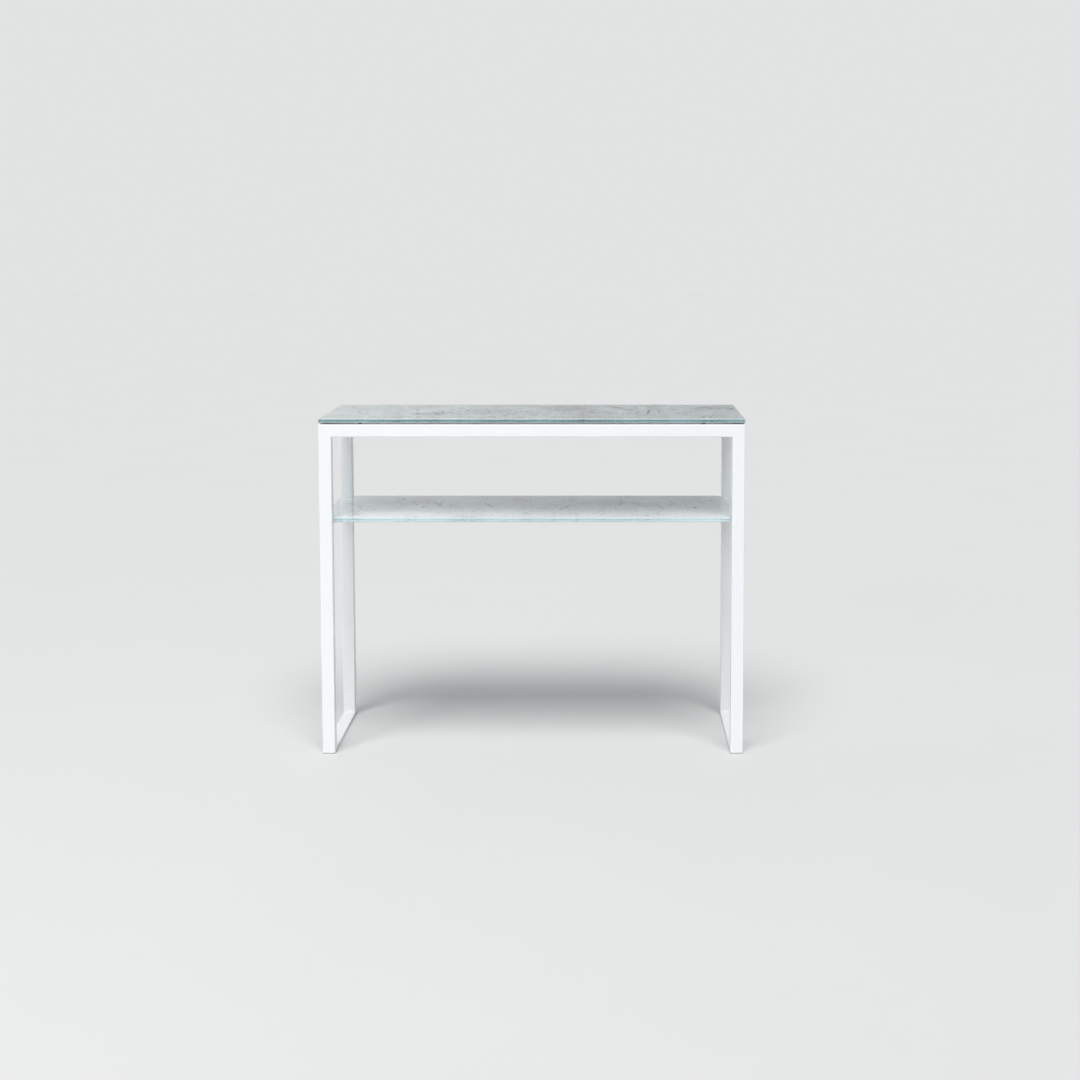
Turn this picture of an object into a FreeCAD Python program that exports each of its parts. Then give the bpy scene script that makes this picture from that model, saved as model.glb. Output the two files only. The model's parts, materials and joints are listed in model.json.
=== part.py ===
"""Console table: a welded frame of square tube and flat bar that carries two printed glass plates.

X is the width, Y is the depth with the front at -Y, and Z is up. The origin is on the floor,
under the middle of the table. Sizes are in millimetres.
"""
import FreeCAD, Part
import math
import os
import Sketcher

DRIVING_DIMENSIONS = (
    ("table_width", 1000),
    ("table_depth", 380),
    ("table_height", 800),
    ("tube_side", 30),
    ("tube_wall", 1.5),
    ("tube_corner_radius", 2.5),
    ("mitre_overshoot", 5),
    ("bar_thickness", 6),
    ("bar_corner_radius", 0.8),
    ("bearer_width", 20),
    ("glass_thickness", 9.2),
    ("print_thickness", 0.8),
    ("glass_corner_radius", 2.5),
    ("glass_arris", 1),
    ("shelf_height", 566),
    ("notch_gap", 3),
    ("notch_corner_radius", 5),
    ("top_bumper_height", 3),
    ("top_bumper_diameter", 10),
    ("top_bumper_end_distance", 97),
    ("shelf_bumper_height", 2),
    ("shelf_bumper_diameter", 8),
    ("shelf_bumper_end_distance", 70),
    ("bumper_taper", 0.6),
    ("glide_head_height", 2),
    ("plug_core_side", 23),
    ("plug_length", 16),
    ("plug_fin_side", 26.6),
    ("plug_fin_corner_radius", 0.8),
    ("plug_fin_height", 2),
    ("plug_fin_pitch", 4.5),
    ("plug_fin_count", 3),
)

UPRIGHT = FreeCAD.Rotation()
TURNED_ROUND = FreeCAD.Rotation(FreeCAD.Vector(0, 0, 1), 180)
ALONG_WIDTH = FreeCAD.Rotation(FreeCAD.Vector(0, 1, 0), 90)
ALONG_DEPTH = FreeCAD.Rotation(FreeCAD.Vector(1, 0, 0), -90)

SKETCH_ORIGIN = (-1, 1)
START_POINT = 1
END_POINT = 2
CENTRE_POINT = 3

# Each end or face of the table: its name and which way it lies from the middle.
SIDES = (("left", -1), ("right", 1))
FACES = (("front", -1), ("rear", 1))

# Places that follow from the driving dimensions, as expressions over the sheet's cells.
PLATE_THICKNESS = "(size.glass_thickness + size.print_thickness)"
FRAME_TOP = f"(size.table_height - {PLATE_THICKNESS} - size.top_bumper_height)"
SHELF_UNDERSIDE = f"(size.shelf_height - {PLATE_THICKNESS})"
BETWEEN_PORTALS = "(size.table_depth - 2 * size.tube_side)"
TUBE_CENTRE_X = "(size.table_width - size.tube_side) / 2"
TUBE_CENTRE_Y = "(size.table_depth - size.tube_side) / 2"
BEARER_CENTRE_X = "(size.table_width - size.bearer_width) / 2"

document = FreeCAD.newDocument("console_table")
sheet = document.addObject("Spreadsheet::Sheet", "size")
sub_parts = []


def fill_sheet():
    """Write the driving dimensions, one row each, with the name as the cell's alias."""
    for row, (name, number) in enumerate(DRIVING_DIMENSIONS, start=1):
        sheet.set(f"A{row}", name)
        sheet.set(f"B{row}", str(number))
        sheet.setAlias(f"B{row}", name)
    document.recompute()


def value(expression):
    """Return the present number of an expression over the sheet's cells."""
    return float(sheet.evalExpression(expression))


def new_body(label):
    body = document.addObject("PartDesign::Body", label)
    body.Label = label
    sub_parts.append(body)
    return body


def place(part, rotation, x, y, z):
    """Turn a sub-part and bind its position to three expressions."""
    part.Placement = FreeCAD.Placement(FreeCAD.Vector(value(x), value(y), value(z)), rotation)
    for axis, expression in (("x", x), ("y", y), ("z", z)):
        part.setExpression(f"Placement.Base.{axis}", expression)


def new_sketch(body, name, plane_role="XY_Plane", height="0"):
    """Start a sketch on one of the body's origin planes, raised along the plane's normal."""
    sketch = body.newObject("Sketcher::SketchObject", name)
    plane = next(item for item in body.Origin.OriginFeatures if item.Role == plane_role)
    sketch.AttachmentSupport = [(plane, "")]
    sketch.MapMode = "FlatFace"
    sketch.setExpression("AttachmentOffset.Base.z", height)
    return sketch


def constrain(sketch, name, expression, kind, *geometry):
    """Add one dimension to a sketch and bind it to an expression."""
    index = sketch.addConstraint(Sketcher.Constraint(kind, *geometry, value(expression)))
    sketch.renameConstraint(index, name)
    sketch.setExpression(f"Constraints.{name}", expression)


def pin_point(sketch, name, geometry, point, x, y):
    """Hold a point at the distances x and y from the sketch's origin; each has a sign and a size."""
    for kind, (sign, distance) in (("DistanceX", x), ("DistanceY", y)):
        ends = (*SKETCH_ORIGIN, geometry, point) if sign > 0 else (geometry, point, *SKETCH_ORIGIN)
        constrain(sketch, f"{name}_{kind}", distance, kind, *ends)


def rounded_rectangle(sketch, name, size_x, size_y, radius, x=None, y=None):
    """Draw a rectangle with four equal round corners, about the origin or about a pinned point."""
    centre_x = x[0] * value(x[1]) if x else 0
    centre_y = y[0] * value(y[1]) if y else 0
    corner = value(radius)
    reach_x = value(size_x) / 2
    reach_y = value(size_y) / 2
    normal = FreeCAD.Vector(0, 0, 1)
    quarter = math.pi / 2
    first = sketch.GeometryCount

    # Each side runs counter-clockwise to the corner that follows it.
    for turn, (sign_x, sign_y) in enumerate(((1, -1), (1, 1), (-1, 1), (-1, -1))):
        centre = FreeCAD.Vector(centre_x + sign_x * (reach_x - corner),
                                centre_y + sign_y * (reach_y - corner), 0)
        start_angle = (turn - 1) * quarter
        arc = Part.ArcOfCircle(Part.Circle(centre, normal, corner), start_angle, start_angle + quarter)
        side_end = arc.StartPoint
        length = 2 * (reach_x if turn % 2 == 0 else reach_y) - 2 * corner
        along = FreeCAD.Vector(*((1, 0), (0, 1), (-1, 0), (0, -1))[turn], 0)
        sketch.addGeometry(Part.LineSegment(side_end - along * length, side_end), False)
        sketch.addGeometry(arc, False)
    sides = [first, first + 2, first + 4, first + 6]
    arcs = [first + 1, first + 3, first + 5, first + 7]

    for index in range(4):
        following = sides[(index + 1) % 4]
        sketch.addConstraint(Sketcher.Constraint("Tangent", sides[index], END_POINT,
                                                 arcs[index], START_POINT))
        sketch.addConstraint(Sketcher.Constraint("Tangent", arcs[index], END_POINT,
                                                 following, START_POINT))
        direction = "Horizontal" if index % 2 == 0 else "Vertical"
        sketch.addConstraint(Sketcher.Constraint(direction, sides[index]))
    for arc in arcs[1:]:
        sketch.addConstraint(Sketcher.Constraint("Equal", arcs[0], arc))
    constrain(sketch, f"{name}_radius", radius, "Radius", arcs[0])
    constrain(sketch, f"{name}_size_x", size_x, "DistanceX", sides[3], START_POINT, sides[1], START_POINT)
    constrain(sketch, f"{name}_size_y", size_y, "DistanceY", sides[0], START_POINT, sides[2], START_POINT)

    if x is None:
        middle = SKETCH_ORIGIN
    else:
        point = sketch.addGeometry(Part.Point(FreeCAD.Vector(centre_x, centre_y, 0)), True)
        pin_point(sketch, f"{name}_centre", point, START_POINT, x, y)
        middle = (point, START_POINT)
    sketch.addConstraint(Sketcher.Constraint("Symmetric", arcs[0], CENTRE_POINT,
                                             arcs[2], CENTRE_POINT, *middle))


def pad(body, sketch, name, length):
    feature = body.newObject("PartDesign::Pad", name)
    feature.Profile = sketch
    feature.setExpression("Length", length)
    return feature


def pocket_through(body, sketch, name):
    """Cut a sketch through the whole body, to both sides of the sketch's plane."""
    before = body.Tip.Shape.Volume
    feature = body.newObject("PartDesign::Pocket", name)
    feature.Profile = sketch
    feature.Type = "ThroughAll"
    feature.SideType = "Symmetric"
    document.recompute()
    if not feature.Shape.Volume < before:
        raise RuntimeError(f"{body.Label}: {name} cuts nothing")


def mitre_cut(body, name, tube_length, end):
    """Cut one end of a tube at 45 degrees, so that its -X side stays whole and its +X side is short.

    The triangle's right angle lies outside the tube, beyond its short side and past its end.
    """
    reach = "(size.tube_side / 2 + size.mitre_overshoot)"
    edge = "(size.tube_side + 2 * size.mitre_overshoot)"
    outward = 1 if end == "far" else -1
    distance = f"({tube_length} + size.mitre_overshoot)" if end == "far" else "size.mitre_overshoot"
    corner = FreeCAD.Vector(value(reach), outward * value(distance), 0)
    level_end = corner - FreeCAD.Vector(value(edge), 0, 0)
    upright_end = corner - FreeCAD.Vector(0, outward * value(edge), 0)

    sketch = new_sketch(body, f"{name}_outline", "XZ_Plane")
    level = sketch.addGeometry(Part.LineSegment(corner, level_end), False)
    slope = sketch.addGeometry(Part.LineSegment(level_end, upright_end), False)
    upright = sketch.addGeometry(Part.LineSegment(upright_end, corner), False)
    for line, following in ((level, slope), (slope, upright), (upright, level)):
        sketch.addConstraint(Sketcher.Constraint("Coincident", line, END_POINT, following, START_POINT))
    sketch.addConstraint(Sketcher.Constraint("Horizontal", level))
    sketch.addConstraint(Sketcher.Constraint("Vertical", upright))
    sketch.addConstraint(Sketcher.Constraint("Equal", level, upright))
    constrain(sketch, "edge", edge, "Distance", level)
    pin_point(sketch, "corner", level, START_POINT, (1, reach), (outward, distance))
    document.recompute()
    pocket_through(body, sketch, name)


def square_tube(label, length, mitred_ends=()):
    """Make a square tube along its own Z, from 0 to its length."""
    body = new_body(label)
    section = new_sketch(body, f"{label}_section")
    rounded_rectangle(section, "outside", "size.tube_side", "size.tube_side", "size.tube_corner_radius")
    inside = "size.tube_side - 2 * size.tube_wall"
    rounded_rectangle(section, "inside", inside, inside, "size.tube_corner_radius - size.tube_wall")
    pad(body, section, f"{label}_run", length)
    document.recompute()
    for end in mitred_ends:
        mitre_cut(body, f"{label}_{end}_mitre", length, end)
    return body


def flat_bar(label, width, length):
    """Make a flat bar along its own Z, with its thickness along its own Y."""
    body = new_body(label)
    section = new_sketch(body, f"{label}_section")
    rounded_rectangle(section, "bar", width, "size.bar_thickness", "size.bar_corner_radius")
    pad(body, section, f"{label}_run", length)
    return body


def legs():
    """Four legs, from the glides' heads to the top of the frame, mitred for the portals' rails."""
    length = f"({FRAME_TOP} - size.glide_head_height)"
    for face, face_sign in FACES:
        for side, side_sign in SIDES:
            leg = square_tube(f"{face}_{side}_leg", length, ("far",))
            x = f"{side_sign} * {TUBE_CENTRE_X}"
            y = f"{face_sign} * {TUBE_CENTRE_Y}"
            place(leg, UPRIGHT if side == "left" else TURNED_ROUND, x, y, "size.glide_head_height")


def top_rails():
    """The front and rear rails close the mitred portals; the side rails butt between the portals."""
    z = f"{FRAME_TOP} - size.tube_side / 2"
    for face, face_sign in FACES:
        rail = square_tube(f"{face}_top_rail", "size.table_width", ("near", "far"))
        y = f"{face_sign} * {TUBE_CENTRE_Y}"
        place(rail, ALONG_WIDTH, "-size.table_width / 2", y, z)
    for side, side_sign in SIDES:
        rail = square_tube(f"{side}_top_rail", BETWEEN_PORTALS)
        x = f"{side_sign} * {TUBE_CENTRE_X}"
        place(rail, ALONG_DEPTH, x, f"-{BETWEEN_PORTALS} / 2", z)


def side_bars():
    """A flat bar along the floor and a narrower one under the shelf join the legs of each side."""
    for side, side_sign in SIDES:
        base = flat_bar(f"{side}_base_bar", "size.tube_side", BETWEEN_PORTALS)
        x = f"{side_sign} * {TUBE_CENTRE_X}"
        z = "size.glide_head_height + size.bar_thickness / 2"
        place(base, ALONG_DEPTH, x, f"-{BETWEEN_PORTALS} / 2", z)

        bearer = flat_bar(f"{side}_shelf_bearer", "size.bearer_width", BETWEEN_PORTALS)
        z = f"{SHELF_UNDERSIDE} - size.shelf_bumper_height - size.bar_thickness / 2"
        place(bearer, ALONG_DEPTH, f"{side_sign} * {BEARER_CENTRE_X}", f"-{BETWEEN_PORTALS} / 2", z)


def glide(label):
    """A plastic insert: a head as wide as the tube, and a core with fins that grip its inside."""
    body = new_body(label)
    head = new_sketch(body, f"{label}_head_outline")
    rounded_rectangle(head, "head", "size.tube_side", "size.tube_side", "size.tube_corner_radius")
    pad(body, head, f"{label}_head", "size.glide_head_height")

    core = new_sketch(body, f"{label}_core_outline")
    rounded_rectangle(core, "core", "size.plug_core_side", "size.plug_core_side",
                      "size.plug_fin_corner_radius")
    pad(body, core, f"{label}_core", "size.glide_head_height + size.plug_length")

    fin = new_sketch(body, f"{label}_fin_outline", height="size.glide_head_height + size.plug_fin_height")
    rounded_rectangle(fin, "fin", "size.plug_fin_side", "size.plug_fin_side",
                      "size.plug_fin_corner_radius")
    fin_pad = pad(body, fin, f"{label}_fin", "size.plug_fin_height")
    document.recompute()
    before = body.Tip.Shape.Volume

    fins = body.newObject("PartDesign::LinearPattern", f"{label}_fins")
    fins.Originals = [fin_pad]
    fins.Direction = (fin, ["N_Axis"])
    fins.setExpression("Occurrences", "size.plug_fin_count")
    fins.setExpression("Length", "size.plug_fin_pitch * (size.plug_fin_count - 1)")
    body.Tip = fins
    document.recompute()
    if not fins.Shape.Volume > before:
        raise RuntimeError(f"{label}: the pattern adds no fins")
    return body


def glides():
    for face, face_sign in FACES:
        for side, side_sign in SIDES:
            x = f"{side_sign} * {TUBE_CENTRE_X}"
            y = f"{face_sign} * {TUBE_CENTRE_Y}"
            place(glide(f"{face}_{side}_glide"), UPRIGHT, x, y, "0")


def plate(label, thickness, inset, notched):
    """Make a plate as large as the table less an inset all round, with its underside at z = 0.

    A notched plate leaves room at its corners for the legs, and a gap round them.
    """
    body = new_body(label)
    outline = new_sketch(body, f"{label}_outline")
    rounded_rectangle(outline, "plate", f"size.table_width - 2 * {inset}",
                      f"size.table_depth - 2 * {inset}", "size.glass_corner_radius")
    pad(body, outline, f"{label}_sheet", thickness)
    document.recompute()
    if not notched:
        return body

    overshoot = "2 * size.notch_corner_radius"
    notch = f"(size.tube_side + size.notch_gap + {inset} + {overshoot})"
    notches = new_sketch(body, f"{label}_notch_outline")
    for face, face_sign in FACES:
        for side, side_sign in SIDES:
            x = f"(size.table_width / 2 + {overshoot} - {notch} / 2)"
            y = f"(size.table_depth / 2 + {overshoot} - {notch} / 2)"
            rounded_rectangle(notches, f"{face}_{side}", notch, notch, "size.notch_corner_radius",
                              (side_sign, x), (face_sign, y))
    document.recompute()
    pocket_through(body, notches, f"{label}_notches")
    return body


def bevel_rims(body, name):
    """Grind a small bevel along every edge of the plate's two broad faces."""
    plain = body.Tip
    broad = [f"Face{number}" for number, face in enumerate(plain.Shape.Faces, start=1)
             if face.BoundBox.ZLength < value("size.glass_arris") / 2]
    bevel = body.newObject("PartDesign::Chamfer", name)
    bevel.Base = (plain, broad)
    bevel.setExpression("Size", "size.glass_arris")
    document.recompute()


def printed_glass(name, top, notched):
    """A glass plate with ground rims, and the opaque print that covers its underside."""
    glass = plate(f"{name}_glass", "size.glass_thickness", "0", notched)
    bevel_rims(glass, f"{name}_glass_arris")
    place(glass, UPRIGHT, "0", "0", f"{top} - size.glass_thickness")
    layer = plate(f"{name}_print_layer", "size.print_thickness", "size.glass_arris", notched)
    place(layer, UPRIGHT, "0", "0", f"{top} - size.glass_thickness - size.print_thickness")


def bumper(label, diameter, height, x, y, z):
    """A soft round pad that narrows a little towards the glass."""
    cone = document.addObject("Part::Cone", label)
    cone.Label = label
    cone.setExpression("Radius1", f"{diameter} / 2")
    cone.setExpression("Radius2", f"{diameter} / 2 - size.bumper_taper")
    cone.setExpression("Height", height)
    sub_parts.append(cone)
    place(cone, UPRIGHT, x, y, z)


def bumpers():
    """Four pads on the front and rear rails under the top, and two on each shelf bearer."""
    for face, face_sign in FACES:
        for side, side_sign in SIDES:
            x = f"{side_sign} * (size.table_width / 2 - size.top_bumper_end_distance)"
            y = f"{face_sign} * {TUBE_CENTRE_Y}"
            bumper(f"{face}_{side}_top_bumper", "size.top_bumper_diameter", "size.top_bumper_height",
                   x, y, FRAME_TOP)
            y = f"{face_sign} * (size.table_depth / 2 - size.shelf_bumper_end_distance)"
            bumper(f"{face}_{side}_shelf_bumper", "size.shelf_bumper_diameter",
                   "size.shelf_bumper_height", f"{side_sign} * {BEARER_CENTRE_X}", y,
                   f"{SHELF_UNDERSIDE} - size.shelf_bumper_height")


def check_objects():
    """Stop if any object of the document failed, or any sub-part has no good shape."""
    for item in document.Objects:
        if "Invalid" in item.State or "Error" in item.State:
            raise RuntimeError(f"{item.Name} failed to compute: {item.State}")
    for part in sub_parts:
        if part.Shape.isNull() or not part.Shape.isValid() or len(part.Shape.Solids) != 1:
            raise RuntimeError(f"{part.Label} has no single valid solid")


def write_parts():
    os.makedirs("parts", exist_ok=True)
    for part in sub_parts:
        part.Shape.exportStep(f"parts/{part.Label}.step")


fill_sheet()
legs()
top_rails()
side_bars()
glides()
printed_glass("top", "size.table_height", notched=False)
printed_glass("shelf", "size.shelf_height", notched=True)
bumpers()
document.recompute()
check_objects()
write_parts()
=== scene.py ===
"""The looks of the console table: a white powder-coated frame with two stone-print glass plates.

Everything is in metres, in the frame of the CAD model: X is the width, -Y is the front, Z is up.
"""
import bmesh
import bpy
import json
import math
import random
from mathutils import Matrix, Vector


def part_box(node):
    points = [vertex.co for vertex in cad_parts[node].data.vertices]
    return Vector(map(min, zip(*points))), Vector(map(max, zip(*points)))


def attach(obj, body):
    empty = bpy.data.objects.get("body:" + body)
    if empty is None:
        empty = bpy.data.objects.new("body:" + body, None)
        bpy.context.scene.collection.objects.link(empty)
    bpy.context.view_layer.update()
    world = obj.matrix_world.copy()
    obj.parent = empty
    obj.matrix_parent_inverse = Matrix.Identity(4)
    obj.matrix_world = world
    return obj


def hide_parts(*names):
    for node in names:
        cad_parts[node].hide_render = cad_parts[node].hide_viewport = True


# The ground edges of the glass, and the round corners of its outline.
ARRIS = 0.001
PLATE_CORNER = 0.0025
NOTCH_CORNER = 0.005
NOTCH_GAP = 0.003
CORNER_STEPS = 8

# How far the print reaches into the glass, so that no two faces lie in one plane.
PRINT_BITE = 0.00006

# A bumper's profile: each ring's share of the foot's radius and of the height. Its crown is round.
BUMPER_PROFILE = ((1.0, 0.0), (1.0, 0.1), (0.97, 0.16), (0.93, 0.5), (0.90, 0.72))
CROWN_STEPS = 6
BUMPER_SIDES = 40

# The fillet welds: their legs, the taper at their ends, and the ripples along them.
WELD_LEG = 0.003
WELD_INSET = 0.003
WELD_TAPER = 0.003
WELD_BULGE = 0.16
WELD_SINK = 0.0003
WELD_RING_PITCH = 0.0004
WELD_RING_STEPS = 8
RIPPLE_PITCH = 0.0016
RIPPLE_DEPTH = 0.07

# Edges that turn by more than this are sharp.
SHARP_ANGLE = math.radians(38)

FLOOR_HALF_SIDE = 40
# The floor lies just below the feet, so that they don't share a plane.
FLOOR_HEIGHT = -0.0002

# Two settings of the glass. The painted highlight on the upper bevel lies between two pale tones.
TOP_GLASS = {
    "tint": (0.16, 0.53, 0.56, 1), "density": 11, "edge_tone": (0.52, 0.66, 0.69, 1),
    "highlight_tones": ((0.80, 0.89, 0.89, 1), (0.93, 0.97, 0.97, 1)),
}
SHELF_GLASS = {
    "tint": (0.11, 0.485, 0.57, 1), "density": 6.5, "edge_tone": (0.67, 0.79, 0.83, 1),
    "highlight_tones": ((0.72, 0.82, 0.84, 1), (0.84, 0.92, 0.94, 1)),
}

# A mark's spot reaches past its two ends, and is so tall that the print's height doesn't matter.
MARK_REACH = 1.2
MARK_LEVEL = 0.8
MARK_TALL = 1000

# Cracks and dark spots in the stone, then broad soft darker patches: from x, y to x, y, half width, and
# how dark.
TOP_MARKS = (
    (0.281, 0.055, 0.278, -0.012, 0.0044, 1.0),
    (0.278, 0.005, 0.273, -0.066, 0.0048, 1.0),
    (0.192, 0.140, 0.214, 0.085, 0.0070, 0.8),
    (0.208, 0.105, 0.229, 0.060, 0.0050, 1.0),
    (0.226, 0.072, 0.243, 0.024, 0.0050, 1.0),
    (0.248, 0.130, 0.252, 0.094, 0.0045, 0.8),
    (0.251, 0.020, 0.249, -0.045, 0.0034, 0.6),
    (0.304, 0.026, 0.303, -0.045, 0.0032, 0.8),
    (0.138, 0.045, 0.139, -0.018, 0.0034, 0.9),
    (0.119, -0.023, 0.120, -0.055, 0.0034, 0.8),
    (0.173, 0.003, 0.173, -0.027, 0.0034, 0.7),
    (0.199, 0.008, 0.200, -0.027, 0.0036, 0.7),
    (0.054, 0.100, 0.055, 0.010, 0.0034, 0.6),
    (0.402, 0.086, 0.416, 0.128, 0.0080, 0.6),
    (0.412, 0.124, 0.434, 0.112, 0.0120, 0.9),
    (0.430, 0.116, 0.436, 0.084, 0.0070, 0.8),
    (0.442, 0.080, 0.466, 0.098, 0.0110, 0.5),
    (0.468, 0.104, 0.492, 0.092, 0.0120, 0.8),
    (0.493, 0.100, 0.482, 0.060, 0.0060, 0.9),
    (0.388, 0.036, 0.398, 0.070, 0.0050, 0.5),
    (0.337, 0.112, 0.338, 0.078, 0.0032, 0.7),
    (-0.285, -0.014, -0.279, -0.070, 0.0065, 1.0),
    (-0.294, 0.074, -0.288, 0.020, 0.0055, 0.6),
    (-0.243, -0.018, -0.227, -0.092, 0.0060, 1.0),
    (-0.227, 0.000, -0.218, -0.056, 0.0055, 0.9),
    (-0.244, -0.098, -0.237, -0.140, 0.0038, 0.6),
    (-0.334, 0.078, -0.333, 0.048, 0.0045, 0.6),
    (-0.427, 0.004, -0.425, -0.026, 0.0035, 0.8),
    (-0.325, -0.054, -0.315, -0.116, 0.0034, 0.5),
    (-0.120, 0.060, -0.105, -0.030, 0.0036, 0.8),
    (-0.060, -0.040, -0.070, -0.120, 0.0036, 0.8),
    (0.020, 0.030, 0.000, -0.060, 0.0032, 0.7),
    (0.010, 0.100, 0.120, 0.090, 0.1000, 0.3),
    (0.410, 0.110, 0.490, 0.100, 0.0500, 0.3),
    (0.200, 0.120, 0.240, 0.050, 0.0400, 0.25),
    (-0.310, 0.140, -0.240, 0.110, 0.0700, 0.25),
    (-0.290, -0.020, -0.220, -0.080, 0.0450, 0.3),
    (-0.450, 0.150, -0.420, 0.020, 0.0500, 0.2),
)
SHELF_MARKS = (
    (-0.300, 0.052, -0.288, 0.036, 0.0080, 0.55),
    (-0.276, 0.014, -0.272, -0.010, 0.0060, 0.5),
    (-0.240, 0.060, -0.234, 0.014, 0.0070, 0.4),
    (-0.345, 0.160, -0.330, 0.120, 0.0060, 0.4),
    (-0.420, -0.116, -0.414, -0.142, 0.0040, 0.4),
    (-0.130, 0.080, -0.100, -0.020, 0.0050, 0.4),
    (0.060, -0.060, 0.085, 0.030, 0.0060, 0.4),
    (0.220, 0.110, 0.205, 0.020, 0.0050, 0.4),
    (0.393, 0.004, 0.394, -0.022, 0.0050, 0.7),
    (0.404, 0.110, 0.420, 0.060, 0.0045, 0.4),
    (-0.420, 0.100, -0.220, 0.060, 0.0500, 0.12),
    (0.100, 0.060, 0.260, 0.100, 0.0600, 0.12),
)

# The camera: a level view would need a large shift, so it looks a little down instead.
CAMERA_PLACE = (0.159, -4.366, 1.203)
CAMERA_TILT_DOWN = 5.24
CAMERA_LENS = 59.8
CAMERA_SHIFT = (-0.0552, -0.12)

# The wide light, high in front: where it comes from, its width in degrees, strength and colour.
KEY_LIGHT = ((-0.05, -1.5, 2.5), 40, 2.6, (1.0, 0.995, 0.985))

# The softbox at the left: its place, target, size, power in watts and colour.
SOFTBOX = ((-2.3, -3.3, 1.9), (0.0, 0.0, 0.45), 1.4, 18, (1.0, 0.995, 0.985))

# The light of the room in front of the table, of the wall behind it from its left part to its right
# part, and the backdrop's own tone.
FRONT_LIGHT = (0.32, 0.33, 0.34)
WALL_LIGHT_LEFT = (0.72, 0.73, 0.735)
WALL_LIGHT_RIGHT = (0.42, 0.43, 0.44)
BACKDROP_TONE = (0.757, 0.766, 0.770)


class Shader:
    """The node tree of a material or of the world. Its calls add one node and return its output."""

    def __init__(self, owner):
        owner.use_nodes = True
        self.owner = owner
        self.tree = owner.node_tree
        self.tree.nodes.clear()

    def add(self, kind, inputs, output=0, **settings):
        made = self.tree.nodes.new(kind)
        for name, setting in settings.items():
            setattr(made, name, setting)
        for key, value in inputs.items():
            if isinstance(value, bpy.types.NodeSocket):
                self.tree.links.new(value, made.inputs[key])
            else:
                made.inputs[key].default_value = value
        return made.outputs[output]

    def place(self, shift=(0, 0, 0), stretch=(1, 1, 1)):
        """The point's place in the table's frame, moved and stretched."""
        point = self.add("ShaderNodeTexCoord", {}, "Object")
        return self.add("ShaderNodeMapping", {"Vector": point, "Location": shift, "Scale": stretch})

    def noise(self, point, scale, detail=2.0, roughness=0.5, distortion=0.0):
        return self.add("ShaderNodeTexNoise", {"Vector": point, "Scale": scale, "Detail": detail,
                                               "Roughness": roughness, "Distortion": distortion}, "Fac")

    def span(self, value, low, high, new_low=0.0, new_high=1.0):
        """Map low..high smoothly to new_low..new_high, and hold the ends."""
        return self.add("ShaderNodeMapRange", {"Value": value, "From Min": low, "From Max": high,
                                               "To Min": new_low, "To Max": new_high},
                        interpolation_type="SMOOTHSTEP")

    def math(self, operation, first, second=0.0):
        return self.add("ShaderNodeMath", {0: first, 1: second}, operation=operation)

    def product(self, first, *others):
        for other in others:
            first = self.math("MULTIPLY", first, other)
        return first

    def vector(self, operation, first, second):
        return self.add("ShaderNodeVectorMath", {0: first, 1: second}, operation=operation)

    def blend(self, share, first, second, kind="MIX"):
        """Mix two colours by a share."""
        return self.add("ShaderNodeMix", {0: share, 6: first, 7: second}, 2,
                        data_type="RGBA", blend_type=kind)

    def bump(self, height, distance, normal=None):
        inputs = {"Height": height, "Distance": distance}
        if normal is not None:
            inputs["Normal"] = normal
        return self.add("ShaderNodeBump", inputs)

    def principled(self, **inputs):
        named = {name.replace("_", " "): value for name, value in inputs.items()}
        return self.add("ShaderNodeBsdfPrincipled", named)

    def show(self, surface, volume=None, kind="ShaderNodeOutputMaterial"):
        """Link a surface, and maybe a volume, to the output, and return what the tree belongs to."""
        made = self.tree.nodes.new(kind)
        self.tree.links.new(surface, made.inputs["Surface"])
        if volume is not None:
            self.tree.links.new(volume, made.inputs["Volume"])
        return self.owner


def new_material(name):
    return Shader(bpy.data.materials.new(name))


def grey(level, warmth=0.0):
    """A grey with a little blue, or a little red where warmth is positive."""
    return (level * (1 + warmth), level, level * (1 - warmth), 1)


def powder_coat():
    """Satin white powder coat: a fine orange peel, uneven gloss, and scuffs near the floor."""
    shader = new_material("powder_coat")
    point = shader.place()
    cloud = shader.noise(point, 5, detail=4, roughness=0.6)
    colour = shader.blend(cloud, (0.84, 0.865, 0.88, 1), (0.90, 0.915, 0.925, 1))

    # The last centimetres above the floor are a little dirty and scuffed.
    height = shader.add("ShaderNodeSeparateXYZ", {"Vector": point}, "Z")
    low = shader.span(height, 0.0, 0.045, 1, 0)
    scuff = shader.span(shader.noise(point, 260, detail=6, roughness=0.7), 0.52, 0.70)
    colour = shader.blend(shader.product(low, scuff, 0.35), colour, grey(0.42, 0.02))
    fleck = shader.span(shader.noise(point, 900, detail=1, roughness=0.5), 0.74, 0.80, 0, 0.25)
    colour = shader.blend(fleck, colour, grey(0.62))

    peel = shader.noise(point, 430, detail=2.5, roughness=0.55)
    broad = shader.noise(point, 55, detail=2, roughness=0.5)
    normal = shader.bump(peel, 0.00003)
    normal = shader.bump(broad, 0.0002, normal)
    gloss = shader.noise(point, 38, detail=5, roughness=0.65)
    roughness = shader.span(gloss, 0.25, 0.75, 0.30, 0.44)
    return shader.show(shader.principled(Base_Color=colour, Roughness=roughness, Normal=normal,
                                         Specular_IOR_Level=0.5))


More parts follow.
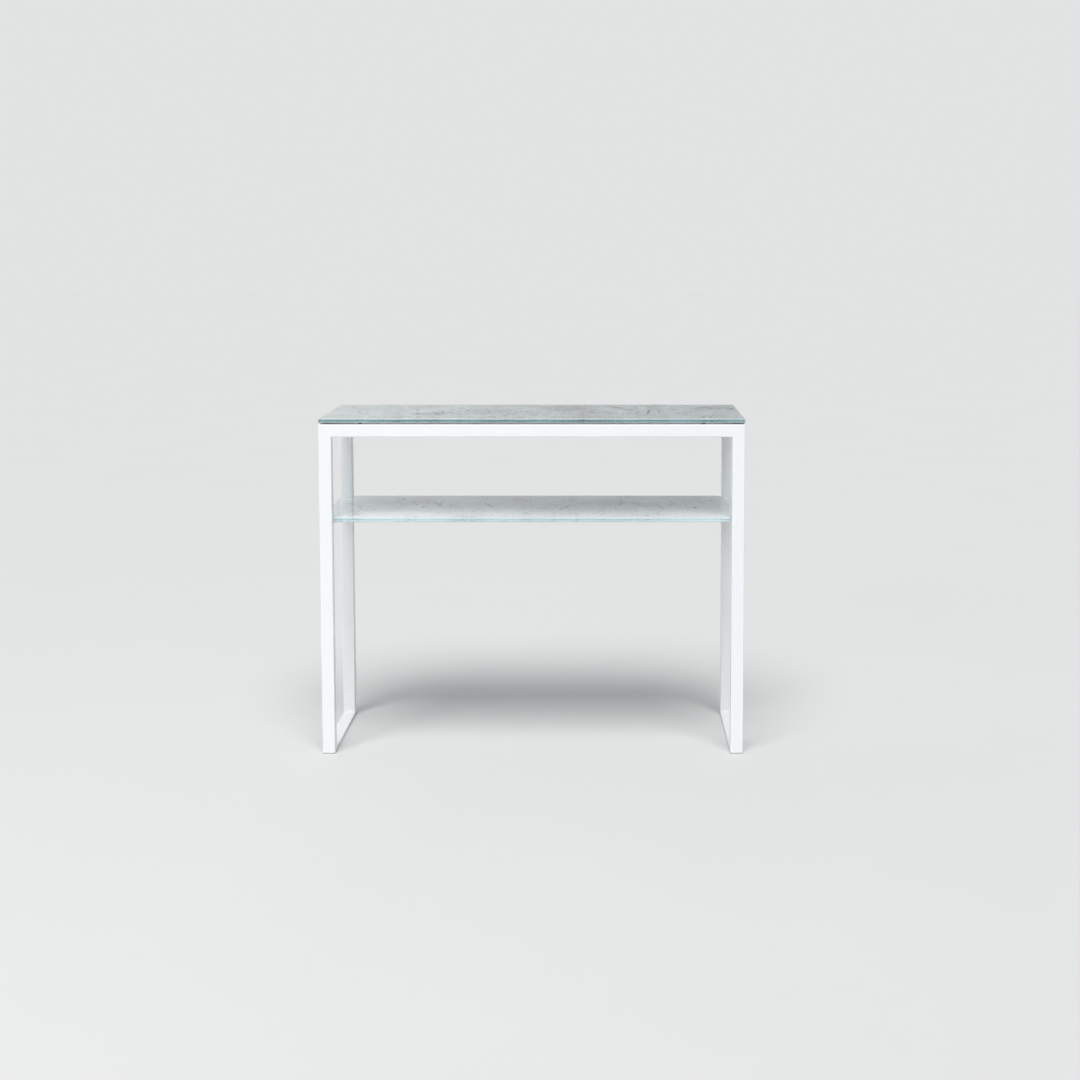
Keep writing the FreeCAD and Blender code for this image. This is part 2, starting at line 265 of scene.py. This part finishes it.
def stone_print(name, shift, dark, light, speckles, marks):
    """Grey stone: clouds, speckle, pores, thin veins, dark cracks and spots at given places, and
    painted light that makes it lighter towards both ends of the width.
    """
    shader = new_material(name)
    plain = shader.place()

    # The stone was sawn so that its grain runs from front to back.
    point = shader.place(shift, (1, 0.4, 1))
    wander = shader.add("ShaderNodeTexNoise", {"Vector": point, "Scale": 9.0, "Detail": 5.0}, "Color")
    warped = shader.vector("ADD", point, shader.vector("MULTIPLY", wander, (0.05, 0.05, 0.05)))
    clouds = shader.span(shader.noise(warped, 11, detail=9, roughness=0.74), 0.34, 0.66)
    tint = shader.span(shader.noise(point, 4, detail=4, roughness=0.6), 0.35, 0.65)
    pale = shader.blend(tint, grey(light, -0.022), grey(light, 0.004))
    colour = shader.blend(clouds, grey(dark, 0.0), pale)
    # Painted light: the print is made lighter towards the left and right ends of the width, for light
    # and reflection there, and stays darker in the middle.
    side = shader.add("ShaderNodeSeparateXYZ", {"Vector": plain}, "X")
    painted_light_at_ends = shader.math("ADD", shader.span(side, -0.46, 0.05, 0.5, 0.0),
                        shader.span(side, 0.10, 0.42, 0.0, 0.4))
    colour = shader.blend(painted_light_at_ends, colour, grey(light * 1.1, -0.012))

    # Speckle of two sizes, dark and light.
    for scale, share in ((60, 0.30 * speckles), (230, 0.65 * speckles)):
        speckle = shader.span(shader.noise(point, scale, detail=6, roughness=0.75), 0.36, 0.64)
        colour = shader.blend(share, colour, shader.blend(speckle, grey(0.22), grey(0.78)), "OVERLAY")
    fields = shader.span(shader.noise(warped, 12, detail=5, roughness=0.62), 0.50, 0.66)
    stains = shader.span(shader.noise(point, 95, detail=5, roughness=0.72), 0.47, 0.60)
    stained = shader.product(fields, stains, 0.7 * speckles)
    colour = shader.blend(stained, colour, grey(0.15, 0.02))
    pores = shader.span(shader.noise(point, 190, detail=2, roughness=0.6), 0.64, 0.72)
    colour = shader.blend(shader.product(pores, 0.8 * speckles), colour, grey(0.10))

    # A vein follows one contour of a rough noise, and shows only here and there.
    field = shader.noise(warped, 4.4, detail=9, roughness=0.6)
    vein = shader.span(shader.math("ABSOLUTE", shader.math("SUBTRACT", field, 0.5)), 0.0, 0.007, 1, 0)
    shown = shader.span(shader.noise(point, 6, detail=3, roughness=0.6), 0.48, 0.60)
    colour = shader.blend(shader.product(vein, shown, 0.7 * speckles), colour, grey(0.12))

    # Each mark is a slim spot between its two ends, and noise frays them all.
    jitter = shader.add("ShaderNodeTexNoise", {"Vector": plain, "Scale": 45.0, "Detail": 7.0,
                                                "Roughness": 0.7}, "Color")
    centred = shader.vector("ADD", jitter, (-0.5, -0.5, -0.5))
    frayed = shader.vector("ADD", plain, shader.vector("MULTIPLY", centred, (0.014, 0.014, 0)))
    darkest = 0.0
    for x1, y1, x2, y2, width, depth in marks:
        half = math.hypot(x2 - x1, y2 - y1) / 2 * MARK_REACH
        turn = math.atan2(y2 - y1, x2 - x1)
        local = shader.add("ShaderNodeMapping", {
            "Vector": frayed, "Location": ((x1 + x2) / 2, (y1 + y2) / 2, MARK_LEVEL),
            "Rotation": (0, 0, turn), "Scale": (half, width, MARK_TALL)}, vector_type="TEXTURE")
        spot = shader.add("ShaderNodeTexGradient", {"Vector": local}, "Fac", gradient_type="SPHERICAL")
        darkest = shader.math("MAXIMUM", darkest, shader.span(spot, 0.0, 0.45, 0.0, depth))
    crumbs = shader.span(shader.noise(plain, 48, detail=7, roughness=0.7), 0.33, 0.47, 0.4, 1.0)
    colour = shader.blend(shader.product(darkest, crumbs), colour, grey(0.05))
    return shader.show(shader.principled(Base_Color=colour, Roughness=0.9, Specular_IOR_Level=0.0))


def backing_enamel():
    """The enamel that backs the print: pale grey, with faint roller marks."""
    shader = new_material("backing_enamel")
    point = shader.place()
    streak = shader.noise(shader.place(stretch=(1, 14, 1)), 9, detail=4, roughness=0.6)
    colour = shader.blend(streak, grey(0.44, -0.02), grey(0.52, -0.02))
    normal = shader.bump(shader.noise(point, 520, detail=3, roughness=0.6), 0.00002)
    roughness = shader.span(streak, 0.3, 0.7, 0.36, 0.52)
    return shader.show(shader.principled(Base_Color=colour, Roughness=roughness, Normal=normal))


def clear_glass(name, tint, density, edge_tone, highlight_tones):
    """Float glass: polished faces with faint smudges, satin edges, and a painted highlight on the upper
    bevel, which is made whitish and nearly opaque.
    """
    shader = new_material(name)
    geometry = shader.tree.nodes.new("ShaderNodeNewGeometry")
    upward = shader.add("ShaderNodeSeparateXYZ", {"Vector": geometry.outputs["True Normal"]}, "Z")
    flat = shader.math("GREATER_THAN", shader.math("ABSOLUTE", upward), 0.95)
    # Painted highlight: only the upper bevel is whitish and nearly opaque; the lower bevel stays clear
    # glass.
    bevel = shader.product(shader.math("GREATER_THAN", upward, 0.3),
                           shader.math("LESS_THAN", upward, 0.95))

    # The grinding wheel runs along the edges; the faces only have smudges.
    wheel = shader.noise(shader.place(stretch=(1, 1, 12)), 90, detail=5, roughness=0.7)
    ground = shader.span(wheel, 0.3, 0.7, 0.10, 0.26)
    smears = shader.noise(shader.place(), 11, detail=5, roughness=0.6)
    smudge = shader.span(smears, 0.45, 0.70, 0.012, 0.05)
    sides = shader.product(shader.math("SUBTRACT", 1.0, flat), ground)
    roughness = shader.math("ADD", shader.product(flat, smudge), sides)
    roughness = shader.math("ADD", roughness, shader.product(bevel, 0.15))
    clean = shader.blend(flat, edge_tone, (1, 1, 1, 1))
    colour = shader.blend(bevel, clean, shader.blend(wheel, *highlight_tones))
    clear = shader.math("SUBTRACT", 1.0, shader.product(bevel, 0.92))
    glass = shader.principled(Base_Color=colour, Roughness=roughness, IOR=1.52,
                              Transmission_Weight=clear)

    # Light for what lies under the glass passes straight through it.
    path = shader.tree.nodes.new("ShaderNodeLightPath")
    lamp = shader.math("MAXIMUM", path.outputs["Is Shadow Ray"], path.outputs["Is Diffuse Ray"])
    through = shader.add("ShaderNodeBsdfTransparent", {"Color": (0.98, 0.98, 0.98, 1)})
    surface = shader.add("ShaderNodeMixShader", {0: lamp, 1: glass, 2: through})
    depth = shader.add("ShaderNodeVolumeAbsorption", {"Color": tint, "Density": density})
    return shader.show(surface, depth)


def soft_rubber():
    """Soft polyurethane with dust on it; its blue-grey is made very dark as painted shade."""
    shader = new_material("soft_rubber")
    point = shader.place()
    dust = shader.span(shader.noise(point, 700, detail=5, roughness=0.7), 0.45, 0.75)
    # Painted shade: the pads' blue-grey is made very dark, as they look in the shaded gap under the
    # top.
    colour = shader.blend(shader.product(dust, 0.35), (0.05, 0.085, 0.12, 1), grey(0.32))
    roughness = shader.span(dust, 0, 1, 0.32, 0.6)
    normal = shader.bump(shader.noise(point, 1400, detail=2), 0.00001)
    return shader.show(shader.principled(Base_Color=colour, Roughness=roughness, Normal=normal))


def moulded_plastic():
    """The glides' grey plastic: spark-eroded texture, with scratches from the floor."""
    shader = new_material("moulded_plastic")
    point = shader.place()
    rubbed = shader.noise(shader.place(stretch=(1, 9, 3)), 240, detail=4, roughness=0.7)
    scratch = shader.span(rubbed, 0.55, 0.75)
    colour = shader.blend(scratch, grey(0.36, -0.02), grey(0.52, 0.01))
    normal = shader.bump(shader.noise(point, 1800, detail=3, roughness=0.6), 0.00003)
    roughness = shader.span(scratch, 0, 1, 0.48, 0.7)
    return shader.show(shader.principled(Base_Color=colour, Roughness=roughness, Normal=normal))


def pale_floor():
    shader = new_material("pale_floor")
    point = shader.place()
    mottle = shader.noise(point, 2.0, detail=5, roughness=0.6)
    colour = shader.blend(mottle, grey(0.655, -0.003), grey(0.675, -0.003))
    matt = shader.principled(Base_Color=colour, Roughness=0.9, Specular_IOR_Level=0.0)

    # From below, the floor doesn't hide the table.
    below = shader.add("ShaderNodeNewGeometry", {}, "Backfacing")
    nothing = shader.add("ShaderNodeBsdfTransparent", {})
    return shader.show(shader.add("ShaderNodeMixShader", {0: below, 1: matt, 2: nothing}))


def rounded_polygon(corners):
    """The outline through square corners (x, y, radius), each rounded by its radius."""
    points = []
    for index, (x, y, radius) in enumerate(corners):
        before = Vector(corners[index - 1][:2])
        after = Vector(corners[(index + 1) % len(corners)][:2])
        corner = Vector((x, y))
        back = (before - corner).normalized() * radius
        onward = (after - corner).normalized() * radius
        centre = corner + back + onward
        for step in range(CORNER_STEPS + 1):
            angle = step / CORNER_STEPS * math.pi / 2
            points.append(centre - onward * math.cos(angle) - back * math.sin(angle))
    return points


def plate_outline(low, high, inset, notch):
    """A plate's outline seen from above, counter-clockwise, moved inwards by an inset.

    A notch is the side of the square that each corner leaves out, or 0.
    """
    left, front = low.x + inset, low.y + inset
    right, rear = high.x - inset, high.y - inset
    outer, inner = PLATE_CORNER - inset, NOTCH_CORNER + inset
    if not notch:
        return rounded_polygon([(left, front, outer), (right, front, outer),
                                (right, rear, outer), (left, rear, outer)])
    inside_left, inside_front = left + notch, front + notch
    inside_right, inside_rear = right - notch, rear - notch
    return rounded_polygon([
        (left, inside_front, outer), (inside_left, inside_front, inner), (inside_left, front, outer),
        (inside_right, front, outer), (inside_right, inside_front, inner), (right, inside_front, outer),
        (right, inside_rear, outer), (inside_right, inside_rear, inner), (inside_right, rear, outer),
        (inside_left, rear, outer), (inside_left, inside_rear, inner), (left, inside_rear, outer),
    ])


def skin(rings):
    """A mesh over a stack of rings that have the same number of points, with both ends shut."""
    built = bmesh.new()
    rows = [[built.verts.new(point) for point in ring] for ring in rings]
    count = len(rows[0])
    for below, above in zip(rows, rows[1:]):
        for index in range(count):
            following = (index + 1) % count
            built.faces.new((below[index], below[following], above[following], above[index]))
    built.faces.new(rows[0][::-1])
    built.faces.new(rows[-1])
    return built


def make_piece(name, built, slot, replaced, *materials):
    """Turn a mesh being built into a piece of the table, with its steep edges sharp."""
    bmesh.ops.recalc_face_normals(built, faces=built.faces)
    mesh = bpy.data.meshes.new(name)
    built.to_mesh(mesh)
    built.free()
    for material in materials:
        mesh.materials.append(material)
    mesh.shade_smooth()
    mesh.set_sharp_from_angle(angle=SHARP_ANGLE)
    piece = bpy.data.objects.new(name, mesh)
    bpy.context.scene.collection.objects.link(piece)
    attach(piece, "root")
    if replaced:
        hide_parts(replaced)
    return piece


def lift(outline, height):
    return [(point.x, point.y, height) for point in outline]


def glass_plate(name, notch, glass):
    low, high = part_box(f"{name}_glass")
    rings = []
    for height, inset in ((low.z, ARRIS), (low.z + ARRIS, 0), (high.z - ARRIS, 0), (high.z, ARRIS)):
        rings.append(lift(plate_outline(low, high, inset, notch), height))
    make_piece(f"{name}_glass_plate", skin(rings), "glass", f"{name}_glass", glass)


def print_plate(name, notch, stone):
    low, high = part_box(f"{name}_print_layer")
    outline = plate_outline(low, high, 0, notch)
    built = skin([lift(outline, low.z), lift(outline, high.z + PRINT_BITE)])
    built.normal_update()
    for face in built.faces:
        face.material_index = 0 if face.calc_center_median().z > high.z else 1
    make_piece(f"{name}_print", built, "stone_print", f"{name}_print_layer",
               stone, MATERIALS["backing"])


def bumper(node):
    """A moulded pad: a thin foot, a tapering body and a rounded crown."""
    low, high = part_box(node)
    centre = (low + high) / 2
    foot = (high.x - low.x) / 2
    tall = high.z - low.z
    profile = [(foot * wide, share) for wide, share in BUMPER_PROFILE]
    shoulder, start = profile[-1]
    crown = 1 - start
    for step in range(1, CROWN_STEPS + 1):
        angle = step / CROWN_STEPS * math.pi / 2
        profile.append((shoulder - crown * tall * (1 - math.cos(angle)),
                        start + crown * math.sin(angle)))
    turns = [side / BUMPER_SIDES * math.tau for side in range(BUMPER_SIDES)]
    rings = []
    for radius, share in profile:
        rings.append([(centre.x + radius * math.cos(turn), centre.y + radius * math.sin(turn),
                       low.z + share * tall) for turn in turns])
    make_piece(f"{node}_pad", skin(rings), "bumper", node, MATERIALS["rubber"])


def weld(name, start, end, side_a, side_b, seed):
    """A painted fillet weld from start to end, in the corner between two surfaces."""
    dice = random.Random(seed)
    start, end = Vector(start), Vector(end)
    side_a, side_b = Vector(side_a), Vector(side_b)
    length = (end - start).length
    steps = round(length / WELD_RING_PITCH)
    phase = dice.uniform(0, 1)
    rings = []
    for step in range(steps + 1):
        share = step / steps
        along = share * length
        ends = min(1.0, min(along, length - along) / WELD_TAPER)
        ripple = abs(math.sin(math.pi * (along / RIPPLE_PITCH + phase)))
        leg = WELD_LEG * (0.45 + 0.55 * math.sqrt(ends)) * (1 - RIPPLE_DEPTH * (1 - ripple))
        centre = start.lerp(end, share)
        ring = [centre - (side_a + side_b) * WELD_SINK]
        for turn in range(WELD_RING_STEPS + 1):
            across = turn / WELD_RING_STEPS
            bulge = WELD_BULGE * math.sin(math.pi * across)
            ring.append(centre + side_a * leg * (1 - across + bulge) + side_b * leg * (across + bulge))
        rings.append(ring)
    make_piece(name, skin(rings), "frame_paint", None, MATERIALS["paint"])


def welds():
    """Fillets where the flat bars and the side rails meet the legs, on the unground sides."""
    for side, sign in (("left", -1), ("right", 1)):
        base_low, base_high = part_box(f"{side}_base_bar")
        bearer_low, bearer_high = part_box(f"{side}_shelf_bearer")
        rail_low, rail_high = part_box(f"{side}_top_rail")
        seats = (
            ("base", base_low.x, base_high.x, base_high.z, 1),
            ("bearer", bearer_low.x, bearer_high.x, bearer_low.z, -1),
            ("rail", rail_low.x, rail_high.x, rail_low.z, -1),
        )
        for face, y, inward in (("front", base_low.y, 1), ("rear", base_high.y, -1)):
            for seed, (part, first, last, z, up) in enumerate(seats):
                weld(f"{face}_{side}_{part}_weld",
                     (first + WELD_INSET, y, z), (last - WELD_INSET, y, z),
                     (0, 0, up), (0, inward, 0), seed + 10 * sign + 100 * inward)


def paint_nodes(slot, material):
    """Give every CAD node of a slot its finished material."""
    for part in frame["record"]["subparts"]:
        if part["material_slot"] == slot:
            node = frame["nodes"][part["node"]]
            for index in range(len(node.material_slots)):
                node.material_slots[index].material = material


def make_floor():
    built = bmesh.new()
    bmesh.ops.create_grid(built, x_segments=2, y_segments=2, size=FLOOR_HALF_SIDE)
    mesh = bpy.data.meshes.new("floor")
    built.to_mesh(mesh)
    built.free()
    mesh.materials.append(pale_floor())
    floor = bpy.data.objects.new("floor", mesh)
    floor.location.z = FLOOR_HEIGHT
    bpy.context.scene.collection.objects.link(floor)


def add_light(name, kind, place, target, power, colour):
    lamp = bpy.data.lights.new(name, kind)
    lamp.energy = power
    lamp.color = colour
    made = bpy.data.objects.new(name, lamp)
    bpy.context.scene.collection.objects.link(made)
    made.location = place
    made.rotation_euler = (Vector(target) - Vector(place)).to_track_quat("-Z", "Y").to_euler()
    return lamp


def light_the_scene():
    """A wide light high in front, and a softbox at the left."""
    direction, width, strength, colour = KEY_LIGHT
    key = add_light("key_light", "SUN", direction, (0, 0, 0), strength, colour)
    key.angle = math.radians(width)
    place, target, size, power, colour = SOFTBOX
    softbox = add_light("softbox", "AREA", place, target, power, colour)
    softbox.shape = "DISK"
    softbox.size = size


def make_room():
    """An even pale room. The camera sees a plain backdrop instead of its light."""
    room = Shader(bpy.data.worlds.new("room"))
    direction = room.add("ShaderNodeTexCoord", {}, "Generated")
    sideways = room.add("ShaderNodeSeparateXYZ", {"Vector": direction}, "X")
    backward = room.add("ShaderNodeSeparateXYZ", {"Vector": direction}, "Y")
    wall = room.blend(room.span(sideways, -0.25, 0.12), (*WALL_LIGHT_LEFT, 1), (*WALL_LIGHT_RIGHT, 1))
    light = room.blend(room.span(backward, -0.35, 0.45), (*FRONT_LIGHT, 1), wall)
    seen = room.add("ShaderNodeLightPath", {}, "Is Camera Ray")
    colour = room.blend(seen, light, (*BACKDROP_TONE, 1))
    background = room.add("ShaderNodeBackground", {"Color": colour})
    bpy.context.scene.world = room.show(background, kind="ShaderNodeOutputWorld")
    bpy.context.scene.view_settings.view_transform = "Standard"


def make_camera():
    lens = bpy.data.cameras.new("camera")
    lens.lens = CAMERA_LENS
    lens.shift_x, lens.shift_y = CAMERA_SHIFT
    camera = bpy.data.objects.new("camera", lens)
    bpy.context.scene.collection.objects.link(camera)
    camera.location = CAMERA_PLACE
    camera.rotation_euler = (math.radians(90 - CAMERA_TILT_DOWN), 0, 0)
    bpy.context.scene.camera = camera


with open("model.json") as file:
    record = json.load(file)
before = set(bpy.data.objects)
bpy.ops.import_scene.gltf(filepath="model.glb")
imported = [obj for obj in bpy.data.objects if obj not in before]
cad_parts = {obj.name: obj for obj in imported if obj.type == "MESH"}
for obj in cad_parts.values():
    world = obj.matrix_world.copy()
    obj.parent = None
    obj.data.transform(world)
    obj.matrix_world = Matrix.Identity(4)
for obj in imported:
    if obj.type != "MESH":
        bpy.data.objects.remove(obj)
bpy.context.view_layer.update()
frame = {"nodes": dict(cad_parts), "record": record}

MATERIALS = {
    "paint": powder_coat(),
    "backing": backing_enamel(),
    "rubber": soft_rubber(),
    "plastic": moulded_plastic(),
}
leg_low, leg_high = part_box("front_left_leg")
NOTCH = leg_high.x - leg_low.x + NOTCH_GAP

make_camera()
light_the_scene()
make_room()
make_floor()
paint_nodes("frame_paint", MATERIALS["paint"])
paint_nodes("glide", MATERIALS["plastic"])
welds()
glass_plate("top", 0, clear_glass("green_glass", **TOP_GLASS))
print_plate("top", 0, stone_print("stone_of_the_top", shift=(0, 0, 0), dark=0.368, light=0.65,
                                  speckles=1.3, marks=TOP_MARKS))
glass_plate("shelf", NOTCH, clear_glass("pale_glass", **SHELF_GLASS))
# Painted light: the shelf's print is the top's stone made much lighter and with less speckle, for the
# light and reflection it gets in the shade of the top.
print_plate("shelf", NOTCH, stone_print("stone_of_the_shelf", shift=(3.7, 1.9, 0), dark=0.79,
                                        light=0.97, speckles=0.7, marks=SHELF_MARKS))
for part in frame["record"]["subparts"]:
    if part["material_slot"] == "bumper":
        bumper(part["node"])
